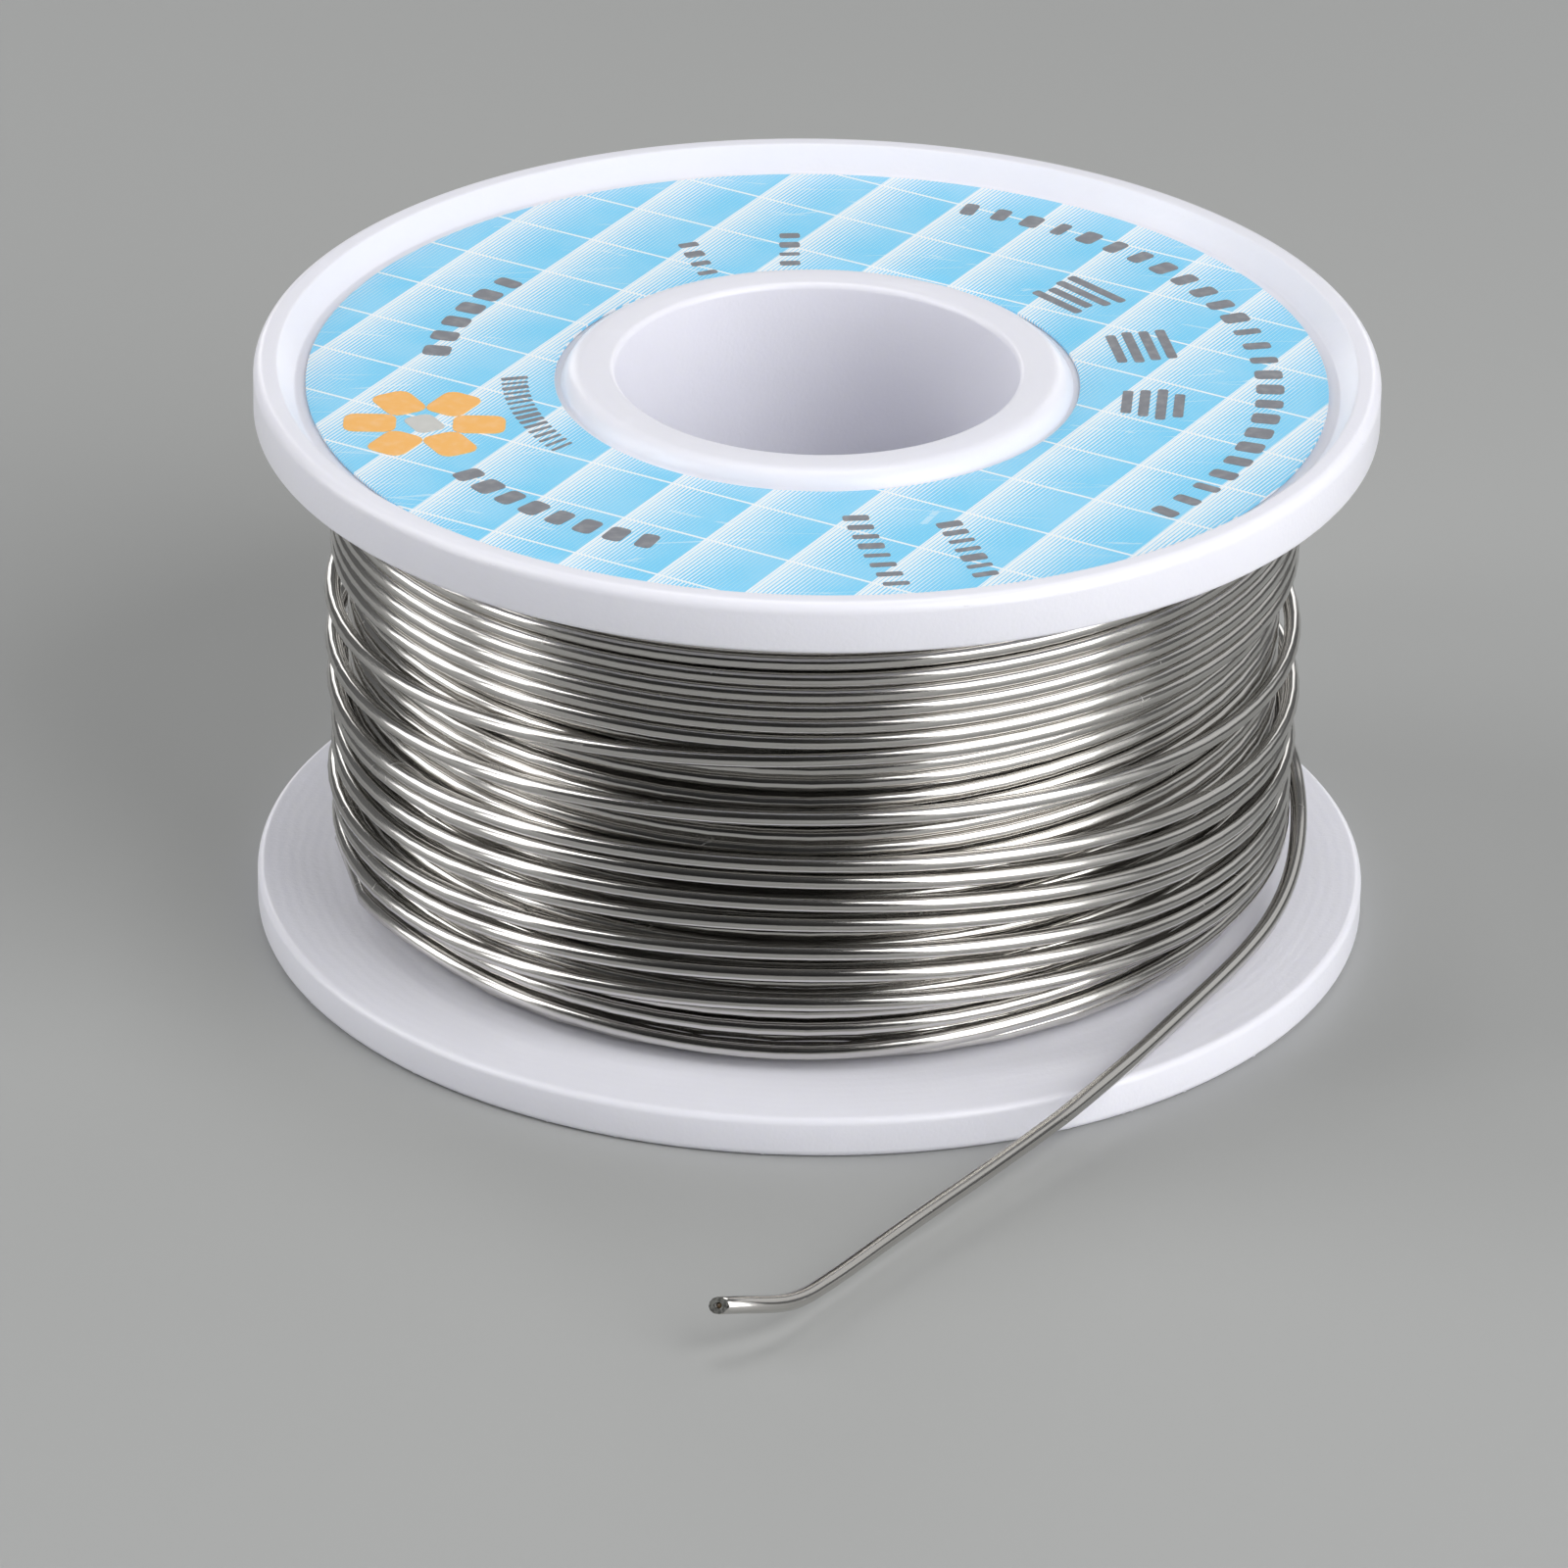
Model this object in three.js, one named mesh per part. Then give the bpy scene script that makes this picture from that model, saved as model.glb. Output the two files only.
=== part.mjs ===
// Solder wire spool: a moulded plastic reel with a printed label, wound full of 0.8 mm flux-cored
// solder whose free end lies across the lower flange.
//
// Frame: millimetres, +Z up along the bore, the origin at the centre of the lower rim's resting face.
// Pieces: spool_body, top_label, solder_winding (the outer shape of all the turns) and
// solder_free_end (the stretch of the same wire that has left the winding).

import * as THREE from 'three';

// --- Driving dimensions -------------------------------------------------------------------------

const SEGMENTS = 96; // facets round every turned shape

// Reel
const FLANGE_R = 27; // both flanges
const HEIGHT = 28.8; // rim to rim
const BORE_R = 9.7; // spindle hole
const HUB_R = 12.3; // drum that the wire is wound on, and the collars at its ends
const LOWER_FLANGE_TOP = 2.05; // where the winding space starts
const UPPER_FLANGE_UNDER = 26.3; // where the winding space ends
const UPPER_SEAT_Z = 27.6; // recessed face that the label lies on
const LOWER_SEAT_Z = 1.0; // the same recess on the underside
const UPPER_COLLAR_Z = 28.4; // collar's end, a little lower than the rim
const LOWER_COLLAR_Z = 0.4;
const SEAT_R = 24.7; // foot of the lip round the lower recess
const CREST_INNER_R = 26.0; // flat crest of each lip
const CREST_OUTER_R = 26.45;
const UPPER_UNDER_EDGE_R = 0.2; // rounding of the upper flange's edge beside the wire
const LIP_INNER_EDGE_R = 0.3; // rounding between the upper crest and the lip's inner face
const LIP_LEAN = 32; // degrees that the lip's inner face leans away from the seat
const LIP_FOOT_R = 0.34; // fillet between that face and the seat
const LIP_FOOT_CENTRE_R = 24.9; // where the fillet runs into the seat
const LOWER_RIM_EDGE_R = 0.4; // rounding of the edge that the spool stands on
const LOWER_CREST_CHAMFER = [0.15, 0.1]; // inner edge of the lower crest, across and up
const LOWER_FLANGE_EDGE_R = 0.35; // rounding of the lower flange's edge beside the wire
const COLLAR_EDGE_R = 1.1; // rounding of the upper collar's outer corner
const COLLAR_EDGE_START = 18; // degrees, where that rounding meets the collar's drafted side
const LOWER_COLLAR_EDGE_R = 0.5;
const BORE_EDGE_R = 0.3; // rounding at the mouth of the bore
const FILLET_R = 0.3; // fillets where the drum meets the flanges

// Label
const LABEL_THICKNESS = 0.12;
const LABEL_GAP = 0.05; // adhesive under the label
const LABEL_INNER_R = 12.6;
const LABEL_OUTER_R = 24.5;

// Solder
const WIRE_D = 0.8;
const WINDING_R = 23.4; // over the outermost turns
const WINDING_GAP = 0.1; // between the turns and the reel
const WINDING_SLOPE = 1.0; // the last turns step in beside the lower flange
const FREE_END_SIDES = 8;
const FREE_END_STEP = 2 * WIRE_D;

// Centreline of the free end: along the winding as its last half turn, over the lower rim, then down
// towards the table and up again at the cut tip.
const FREE_END_ROUTE = [
  [23.50, 4.10, 6.10],
  [23.80, 1.50, 5.45],
  [23.80, -1.40, 4.85],
  [23.55, -3.75, 4.25],
  [22.99, -6.35, 3.75],
  [22.15, -8.85, 3.40],
  [21.05, -11.25, 3.15],
  [19.95, -13.35, 3.00],
  [18.85, -15.35, 2.90],
  [17.80, -17.25, 2.82],
  [15.55, -21.25, 2.66],
  [14.45, -23.05, 2.58],
  [13.35, -24.75, 2.47],
  [12.00, -26.70, 2.27],
  [10.90, -28.10, 2.10],
  [8.15, -31.60, 1.76],
  [5.40, -35.15, 1.53],
  [3.60, -37.65, 1.44],
  [1.80, -40.25, 1.38],
  [0.90, -41.55, 1.40],
  [0.05, -42.80, 1.50],
  [-0.85, -43.90, 1.78],
  [-1.72, -44.70, 2.14],
  [-2.60, -45.35, 2.48],
  [-3.80, -45.95, 2.75],
];

// --- Helpers ------------------------------------------------------------------------------------

// Points of an arc in the (radius, height) half plane, both ends included. Angles are in degrees.
function arc(centreR, centreZ, radius, fromDeg, toDeg, steps) {
  const points = [];
  for (let i = 0; i <= steps; i += 1) {
    const angle = THREE.MathUtils.degToRad(fromDeg + ((toDeg - fromDeg) * i) / steps);
    points.push([centreR + radius * Math.cos(angle), centreZ + radius * Math.sin(angle)]);
  }
  return points;
}

// A closed outline in the (radius, height) half plane, turned round the Z axis. The outline runs
// anticlockwise with the radius to the right, which makes the faces point outwards.
function turned(outline) {
  const closed = [...outline, outline[0]];
  const geometry = new THREE.LatheGeometry(
    closed.map(([r, z]) => new THREE.Vector2(r, z)),
    SEGMENTS,
  );
  return geometry.rotateX(Math.PI / 2);
}

function piece(name, geometry, color, roughness, metalness = 0) {
  const material = new THREE.MeshStandardMaterial({ color, roughness, metalness });
  const mesh = new THREE.Mesh(geometry, material);
  mesh.name = name;
  return mesh;
}

// --- Reel: one moulding, with the drum, both flanges, their lips and the collars ----------------

// Upper flange from the winding space round its edge, over the lip and down to the label's seat.
function upperFlangeOutline() {
  const edge = FLANGE_R - CREST_OUTER_R;
  const underEdge = UPPER_UNDER_EDGE_R;
  return [
    ...arc(FLANGE_R - underEdge, UPPER_FLANGE_UNDER + underEdge, underEdge, -90, 0, 2),
    ...arc(CREST_OUTER_R, HEIGHT - edge, edge, 0, 90, 5),
    ...arc(CREST_INNER_R, HEIGHT - LIP_INNER_EDGE_R, LIP_INNER_EDGE_R, 90, 90 + LIP_LEAN, 2),
    ...arc(LIP_FOOT_CENTRE_R, UPPER_SEAT_Z + LIP_FOOT_R, LIP_FOOT_R, 270 + LIP_LEAN, 270, 2),
  ];
}

function upperCollarOutline() {
  return [
    [HUB_R, UPPER_SEAT_Z],
    ...arc(HUB_R - COLLAR_EDGE_R, UPPER_COLLAR_Z - COLLAR_EDGE_R, COLLAR_EDGE_R, COLLAR_EDGE_START, 90, 6),
    ...arc(BORE_R + BORE_EDGE_R, UPPER_COLLAR_Z - BORE_EDGE_R, BORE_EDGE_R, 90, 180, 3),
  ];
}

function lowerCollarOutline() {
  const edge = LOWER_COLLAR_EDGE_R;
  return [
    ...arc(BORE_R + BORE_EDGE_R, LOWER_COLLAR_Z + BORE_EDGE_R, BORE_EDGE_R, 180, 270, 3),
    ...arc(HUB_R - edge, LOWER_COLLAR_Z + edge, edge, -90, 0, 3),
    [HUB_R, LOWER_SEAT_Z],
  ];
}

function lowerFlangeOutline() {
  const [across, up] = LOWER_CREST_CHAMFER;
  const rimEdge = LOWER_RIM_EDGE_R;
  const wireEdge = LOWER_FLANGE_EDGE_R;
  return [
    [SEAT_R, LOWER_SEAT_Z],
    [CREST_INNER_R - across, up],
    [CREST_INNER_R, 0],
    ...arc(FLANGE_R - rimEdge, rimEdge, rimEdge, -90, 0, 3),
    ...arc(FLANGE_R - wireEdge, LOWER_FLANGE_TOP - wireEdge, wireEdge, 0, 90, 3),
  ];
}

function drumOutline() {
  return [
    ...arc(HUB_R + FILLET_R, LOWER_FLANGE_TOP + FILLET_R, FILLET_R, 270, 180, 2),
    ...arc(HUB_R + FILLET_R, UPPER_FLANGE_UNDER - FILLET_R, FILLET_R, 180, 90, 2),
  ];
}

function spoolBody() {
  return turned([
    ...lowerFlangeOutline(),
    ...drumOutline(),
    ...upperFlangeOutline(),
    ...upperCollarOutline(),
    ...lowerCollarOutline(),
  ]);
}

// --- Label: a printed ring on the upper flange's seat -------------------------------------------

function topLabel() {
  const under = UPPER_SEAT_Z + LABEL_GAP;
  const over = under + LABEL_THICKNESS;
  return turned([
    [LABEL_INNER_R, under],
    [LABEL_OUTER_R, under],
    [LABEL_OUTER_R, over],
    [LABEL_INNER_R, over],
  ]);
}

// --- Solder -------------------------------------------------------------------------------------

// The outer shape of all the turns, from flange to flange.
function solderWinding() {
  const inner = HUB_R + WINDING_GAP;
  const low = LOWER_FLANGE_TOP + WINDING_GAP;
  const high = UPPER_FLANGE_UNDER - WINDING_GAP;
  return turned([
    [inner + FILLET_R, low],
    [WINDING_R - WINDING_SLOPE, low],
    [WINDING_R, low + WINDING_SLOPE],
    [WINDING_R, high - WIRE_D / 2],
    [WINDING_R - WIRE_D / 2, high],
    [inner + FILLET_R, high],
    [inner, high - FILLET_R],
    [inner, low + FILLET_R],
  ]);
}

function solderFreeEnd() {
  const route = new THREE.CatmullRomCurve3(FREE_END_ROUTE.map((p) => new THREE.Vector3(...p)));
  const section = new THREE.Shape();
  for (let i = 0; i < FREE_END_SIDES; i += 1) {
    const angle = (2 * Math.PI * i) / FREE_END_SIDES;
    const x = (WIRE_D / 2) * Math.cos(angle);
    const y = (WIRE_D / 2) * Math.sin(angle);
    if (i === 0) {
      section.moveTo(x, y);
    } else {
      section.lineTo(x, y);
    }
  }
  section.closePath();
  return new THREE.ExtrudeGeometry(section, {
    steps: Math.round(route.getLength() / FREE_END_STEP),
    extrudePath: route,
  });
}

// --- Assembly -----------------------------------------------------------------------------------

const spool = new THREE.Group();
spool.name = 'solder_wire_spool';
spool.add(
  piece('spool_body', spoolBody(), 0xe8e8f1, 0.4),
  piece('top_label', topLabel(), 0x8edcfb, 0.45),
  piece('solder_winding', solderWinding(), 0xa9a59f, 0.3, 1),
  piece('solder_free_end', solderFreeEnd(), 0xb4b1ab, 0.3, 1),
);

export default spool;
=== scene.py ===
"""A spool of flux-cored solder wire: moulded reel, printed label, one continuous wound wire and its stage.

Metres, +Z up along the spindle bore, the origin at the centre of the lower rim's resting face.
"""

import math

import bmesh
import bpy
import numpy as np
from mathutils import Matrix, Vector


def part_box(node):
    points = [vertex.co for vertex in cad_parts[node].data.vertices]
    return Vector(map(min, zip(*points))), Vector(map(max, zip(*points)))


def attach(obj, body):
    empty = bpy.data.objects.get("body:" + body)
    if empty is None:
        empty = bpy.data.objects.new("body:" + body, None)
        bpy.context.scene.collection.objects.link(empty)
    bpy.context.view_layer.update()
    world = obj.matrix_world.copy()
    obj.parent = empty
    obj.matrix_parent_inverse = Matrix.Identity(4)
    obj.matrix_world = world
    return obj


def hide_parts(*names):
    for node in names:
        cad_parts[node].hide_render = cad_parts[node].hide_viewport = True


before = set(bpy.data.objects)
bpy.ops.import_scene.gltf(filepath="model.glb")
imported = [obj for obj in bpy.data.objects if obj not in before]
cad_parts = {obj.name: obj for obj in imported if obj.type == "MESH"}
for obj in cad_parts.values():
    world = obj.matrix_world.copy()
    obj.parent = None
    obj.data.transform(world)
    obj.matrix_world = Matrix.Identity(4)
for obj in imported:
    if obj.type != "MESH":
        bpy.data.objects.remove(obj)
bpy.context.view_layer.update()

bl_info = {
    "name": "Solder Wire Spool",
    "version": (1, 0, 0),
    "blender": (4, 5, 0),
    "location": "View3D > Sidebar > Solder Spool",
    "description": "Builds a reel of flux-cored solder wire with its label, printed marks and stage",
    "category": "Add Mesh",
}

MM = 0.001
BODY = "root"

REEL_LOW, REEL_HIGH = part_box("spool_body")
LABEL_LOW, LABEL_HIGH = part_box("top_label")


def srgb(red, green, blue):
    """Linear colour with alpha from 0-255 display values."""
    linear = []
    for channel in (red, green, blue):
        value = channel / 255
        linear.append(value / 12.92 if value <= 0.04045 else ((value + 0.055) / 1.055) ** 2.4)
    return (*linear, 1.0)


# --- Settings -------------------------------------------------------------------------------------


def length_setting(name, description, millimetres):
    return bpy.props.FloatProperty(
        name=name, description=description, default=millimetres * MM, unit="LENGTH", precision=5
    )


def colour_setting(name, description, colour):
    return bpy.props.FloatVectorProperty(
        name=name, description=description, default=colour, subtype="COLOR", size=4, min=0, max=1
    )


class ReelSettings(bpy.types.PropertyGroup):
    """Sizes and colour of the moulded reel."""

    flange_radius: length_setting("Flange radius", "Outer radius of both flanges", REEL_HIGH.x / MM)
    height: length_setting("Height", "From the lower rim to the upper rim", REEL_HIGH.z / MM)
    bore_radius: length_setting("Bore radius", "Radius of the spindle bore", 9.7)
    drum_radius: length_setting("Drum radius", "Radius of the drum and of the collars", 12.3)
    lower_flange_top: length_setting("Winding floor", "Height where the winding space starts", 2.05)
    upper_flange_under: length_setting("Winding ceiling", "Height where the winding space ends", 26.3)
    upper_seat: length_setting("Upper seat", "Height of the face that the label lies on", 27.6)
    lower_seat: length_setting("Lower seat", "Height of the recessed face on the underside", 1.0)
    upper_collar: length_setting("Upper collar", "Height of the upper collar's end", 28.4)
    lower_collar: length_setting("Lower collar", "Height of the lower collar's end", 0.4)
    seat_radius: length_setting("Seat radius", "Where the seat meets the lip", 24.7)
    crest_inner_radius: length_setting("Crest inner radius", "Inner edge of the lip's flat crest", 26.0)
    crest_outer_radius: length_setting("Crest outer radius", "Outer edge of the lip's flat crest", 26.45)
    colour: colour_setting("Plastic", "Colour of the moulded plastic", srgb(240, 240, 249))


class WireSettings(bpy.types.PropertyGroup):
    """Size and colours of the solder wire."""

    diameter: length_setting("Wire diameter", "Diameter of the solder wire", 0.8)
    core_radius: length_setting("Core radius", "Radius of the flux core", 0.15)
    colour: colour_setting("Solder", "Colour of the drawn solder", srgb(206, 204, 201))
    cut_colour: colour_setting("Cut face", "Colour of the nipped end", srgb(122, 122, 118))
    flux_colour: colour_setting("Flux", "Colour of the flux core", srgb(96, 72, 34))


class LabelSettings(bpy.types.PropertyGroup):
    """Sizes and colours of the printed label."""

    inner_radius: length_setting("Inner radius", "Radius of the hole in the label", 12.6)
    outer_radius: length_setting("Outer radius", "Outer radius of the label", LABEL_HIGH.x / MM)
    band_spacing: length_setting("Band spacing", "Distance between the printed bands", 4.43)
    hatch_spacing: length_setting("Hatch spacing", "Distance between the fine hatch lines", 0.2)
    rule_width: length_setting("Rule width", "Width of the thin white rules", 0.13)
    blue: colour_setting("Blue", "Printed ground", srgb(126, 214, 252))
    white: colour_setting("White", "Paper between the printed lines", srgb(246, 251, 255))
    ink: colour_setting("Grey ink", "Printed grey marks", srgb(132, 134, 140))
    orange: colour_setting("Orange ink", "Printed orange mark", srgb(251, 190, 108))
    badge: colour_setting("Badge ink", "The middle of the orange mark", srgb(206, 206, 202))


class StageSettings(bpy.types.PropertyGroup):
    """Floor, lights and camera."""

    floor_colour: colour_setting("Floor", "Colour of the floor", srgb(170, 171, 170))
    floor_radius: bpy.props.FloatProperty(
        name="Floor radius", description="Radius of the floor disc", default=3.0, unit="LENGTH"
    )
    lens: bpy.props.FloatProperty(
        name="Focal length", description="Focal length in millimetres", default=251.3, min=1
    )
    distance: bpy.props.FloatProperty(
        name="Camera distance", description="From the origin", default=0.537, unit="LENGTH"
    )
    elevation: bpy.props.FloatProperty(
        name="Camera elevation", description="Above the floor", default=math.radians(27.36), subtype="ANGLE"
    )


def settings(name):
    """The scene's settings of one of the groups above."""
    return getattr(bpy.context.scene, "spool_" + name)


def shade(colour, share):
    """The colour with every channel cut to a share of itself."""
    return (*(channel * share for channel in colour[:3]), 1.0)


# --- Mesh helpers ---------------------------------------------------------------------------------


def link(name, mesh, *materials):
    """A new object at the origin that holds the mesh and wears the materials."""
    for material in materials:
        mesh.materials.append(material)
    piece = bpy.data.objects.new(name, mesh)
    bpy.context.scene.collection.objects.link(piece)
    return piece


def arc(centre_r, centre_z, radius, start, end, steps):
    """Points of an arc in the (radius, height) half plane, both ends included. Angles are in degrees."""
    points = []
    for step in range(steps + 1):
        angle = math.radians(start + (end - start) * step / steps)
        points.append((centre_r + radius * math.cos(angle), centre_z + radius * math.sin(angle)))
    return points


def turned(name, outline, segments, sharp_angle=math.radians(35)):
    """Turns a closed outline, anticlockwise in the (radius, height) half plane, round Z. Millimetres."""
    vertices = []
    for segment in range(segments):
        angle = 2 * math.pi * segment / segments
        cosine, sine = math.cos(angle) * MM, math.sin(angle) * MM
        vertices.extend((r * cosine, r * sine, z * MM) for r, z in outline)
    count = len(outline)
    faces = []
    for segment in range(segments):
        here, there = segment * count, (segment + 1) % segments * count
        for i in range(count):
            j = (i + 1) % count
            faces.append((here + i, there + i, there + j, here + j))
    mesh = bpy.data.meshes.new(name)
    mesh.from_pydata(vertices, [], faces)
    mesh.shade_smooth()
    mesh.set_sharp_from_angle(angle=sharp_angle)
    return mesh


def finish_piece(piece, slot, *nodes):
    """Rides on the spool's one body and stands for the CAD nodes. The slot is not used."""
    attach(piece, BODY)
    if nodes:
        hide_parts(*nodes)


# --- Node helpers ---------------------------------------------------------------------------------


class Nodes:
    """Adds nodes to a tree and links them by socket name."""

    def __init__(self, tree):
        self.tree = tree

    def add(self, kind, inputs=None, **attributes):
        node = self.tree.nodes.new(kind)
        for key, value in attributes.items():
            setattr(node, key, value)
        for key, value in (inputs or {}).items():
            self.feed(node.inputs[key], value)
        return node

    def feed(self, socket, value):
        if isinstance(value, bpy.types.NodeSocket):
            self.tree.links.new(value, socket)
        else:
            socket.default_value = value

    def math(self, operation, *values, clamp=False):
        node = self.add("ShaderNodeMath", operation=operation, use_clamp=clamp)
        for socket, value in zip(node.inputs, values):
            self.feed(socket, value)
        return node.outputs[0]

    def add_share(self, base, value, factor):
        """base + value * factor."""
        return self.math("ADD", base, self.math("MULTIPLY", value, factor))

    def mix(self, factor, first, second):
        node = self.add("ShaderNodeMix", data_type="RGBA")
        self.feed(node.inputs["Factor"], factor)
        colours = [socket for socket in node.inputs if socket.type == "RGBA"]
        self.feed(colours[0], first)
        self.feed(colours[1], second)
        return next(socket for socket in node.outputs if socket.type == "RGBA")

    def ramp(self, value, low, high, to_low=0.0, to_high=1.0, smooth=True):
        node = self.add("ShaderNodeMapRange", clamp=True)
        node.interpolation_type = "SMOOTHSTEP" if smooth else "LINEAR"
        for key, number in zip(("Value", "From Min", "From Max", "To Min", "To Max"),
                               (value, low, high, to_low, to_high)):
            self.feed(node.inputs[key], number)
        return node.outputs["Result"]

    def stretched(self, vector, scale, rotation=(0, 0, 0), location=(0, 0, 0)):
        """The vector moved, turned and scaled."""
        return self.add("ShaderNodeMapping", {
            "Vector": vector, "Location": location, "Rotation": rotation, "Scale": scale,
        }).outputs[0]

    def noise(self, vector, scale, **inputs):
        """Noise from 0 to 1 at that many cells a unit."""
        return self.add("ShaderNodeTexNoise", {"Vector": vector, "Scale": scale, **inputs}).outputs["Fac"]

    def random(self, kind, low, high, seed):
        """A random value for each point, as FLOAT or FLOAT_VECTOR."""
        node = self.add("FunctionNodeRandomValue", {"Seed": seed}, data_type=kind)
        socket_type = "VECTOR" if kind == "FLOAT_VECTOR" else "VALUE"
        limits = [socket for socket in node.inputs if socket.type == socket_type]
        self.feed(limits[0], low)
        self.feed(limits[1], high)
        return next(socket for socket in node.outputs if socket.type == socket_type)


NUMBER_SOCKETS = {int: "Int", float: "Float"}


def group_tree(kind, name, inputs, outputs):
    """A node group with its sockets, and its input and output nodes.

    An input is given by its default number, or by its kind where it has none.
    """
    tree = bpy.data.node_groups.new(name, kind)
    for socket, given in inputs.items():
        socket_kind = NUMBER_SOCKETS.get(type(given), given)
        made = tree.interface.new_socket(socket, in_out="INPUT", socket_type="NodeSocket" + socket_kind)
        if given != socket_kind:
            made.default_value = given
    for socket, socket_kind in outputs.items():
        tree.interface.new_socket(socket, in_out="OUTPUT", socket_type="NodeSocket" + socket_kind)
    nodes = Nodes(tree)
    return nodes, nodes.add("NodeGroupInput").outputs, nodes.add("NodeGroupOutput").inputs


def surface_grain_group():
    """Soft patches that change gloss, and a fine grain that changes height. Vector is in millimetres."""
    name = "Surface Grain"
    if name in bpy.data.node_groups:
        return bpy.data.node_groups[name]
    nodes, given, result = group_tree(
        "ShaderNodeTree", name,
        {"Vector": "Vector", "Patch Scale": 0.3, "Grain Scale": 4.0, "Roughness": 0.4, "Spread": 0.1},
        {"Roughness": "Float", "Height": "Float", "Patches": "Float"},
    )
    patches = nodes.noise(given["Vector"], given["Patch Scale"], Detail=4.0)
    grain = nodes.noise(given["Vector"], given["Grain Scale"], Detail=3.0)
    centred = nodes.math("SUBTRACT", patches, 0.5)
    swing = nodes.math("MULTIPLY", centred, nodes.math("MULTIPLY", given["Spread"], 2.0))
    nodes.feed(result["Roughness"], nodes.math("ADD", given["Roughness"], swing, clamp=True))
    nodes.feed(result["Height"], grain)
    nodes.feed(result["Patches"], patches)
    return nodes.tree


def hair_scratches_group():
    """Sparse hair-thin scratches as a mask. Vector is in millimetres."""
    name = "Hair Scratches"
    if name in bpy.data.node_groups:
        return bpy.data.node_groups[name]
    nodes, given, result = group_tree(
        "ShaderNodeTree", name,
        {"Vector": "Vector", "Scale": 1.0, "Width": 0.02, "Cover": 0.55},
        {"Mask": "Float"},
    )
    lean, stretch, patch_scale = (0.2, 0.1), (0.12, 1.0, 1.0), 0.9
    masks = []
    for turn, shift in ((0.5, 0.0), (-0.9, 7.0)):
        vector = nodes.stretched(given["Vector"], stretch, (*lean, turn), (shift, shift, 0.0))
        lines = nodes.add("ShaderNodeTexVoronoi", {"Vector": vector, "Scale": given["Scale"]},
                          feature="DISTANCE_TO_EDGE")
        thin = nodes.math("LESS_THAN", lines.outputs["Distance"], given["Width"])
        here = nodes.math("GREATER_THAN", nodes.noise(vector, patch_scale), given["Cover"])
        masks.append(nodes.math("MULTIPLY", thin, here))
    nodes.feed(result["Mask"], nodes.math("MAXIMUM", *masks))
    return nodes.tree


class Finish(Nodes):
    """A material with one Principled shader."""

    def __init__(self, name):
        self.material = bpy.data.materials.new(name)
        self.material.use_nodes = True
        super().__init__(self.material.node_tree)
        self.shader = self.tree.nodes["Principled BSDF"]

    def set(self, **sockets):
        for key, value in sockets.items():
            self.feed(self.shader.inputs[key.replace("_", " ")], value)

    def millimetres(self, output="Object"):
        """Texture coordinates scaled so that one unit is a millimetre."""
        return self.stretched(self.add("ShaderNodeTexCoord").outputs[output], (1 / MM, 1 / MM, 1 / MM))

    def group(self, tree, **inputs):
        node = self.add("ShaderNodeGroup")
        node.node_tree = tree
        for key, value in inputs.items():
            self.feed(node.inputs[key.replace("_", " ")], value)
        return node.outputs

    def grain(self, place, patch_scale, grain_scale, roughness, spread):
        return self.group(surface_grain_group(), Vector=place, Patch_Scale=patch_scale,
                          Grain_Scale=grain_scale, Roughness=roughness, Spread=spread)

    def scratches(self, place, scale, width, cover):
        return self.group(hair_scratches_group(), Vector=place, Scale=scale, Width=width, Cover=cover)["Mask"]

    def bump(self, height, strength, distance):
        node = self.add("ShaderNodeBump", {"Height": height, "Strength": strength, "Distance": distance})
        self.feed(self.shader.inputs["Normal"], node.outputs["Normal"])


# --- Materials ------------------------------------------------------------------------------------


def moulded_plastic():
    """Bluish-white moulded plastic: satin, faintly translucent, with flow patches and turned tool marks."""
    finish = Finish("moulded_plastic")
    colour = settings("reel").colour
    place = finish.millimetres()
    grain = finish.grain(place, patch_scale=0.22, grain_scale=5.0, roughness=0.33, spread=0.1)
    scratches = finish.scratches(place, scale=0.55, width=0.014, cover=0.54)
    parts = finish.add("ShaderNodeSeparateXYZ", {"Vector": place}).outputs
    squares = [finish.math("MULTIPLY", parts[axis], parts[axis]) for axis in "XY"]
    radius = finish.math("SQRT", finish.math("ADD", *squares))
    rings_per_millimetre, wobble, ring_depth, scratch_depth = 11.0, 9.0, 0.18, -1.5
    phase = finish.math("ADD", finish.math("MULTIPLY", radius, rings_per_millimetre),
                        finish.math("MULTIPLY", grain["Patches"], wobble))
    patches = finish.ramp(grain["Patches"], 0.3, 0.7, 0.0, 0.16)
    finish.set(Base_Color=finish.mix(patches, tuple(colour), shade(colour, 0.93)))
    finish.set(Roughness=finish.add_share(grain["Roughness"], scratches, 0.18))
    height = finish.add_share(grain["Height"], finish.math("SINE", phase), ring_depth)
    finish.bump(finish.add_share(height, scratches, scratch_depth), 0.2, 0.06 * MM)
    finish.set(IOR=1.49, Coat_Weight=0.15, Coat_Roughness=0.18)
    finish.set(Subsurface_Weight=0.2, Subsurface_Scale=0.9 * MM, Subsurface_Radius=(1.0, 1.0, 1.15))
    return finish.material


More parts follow.
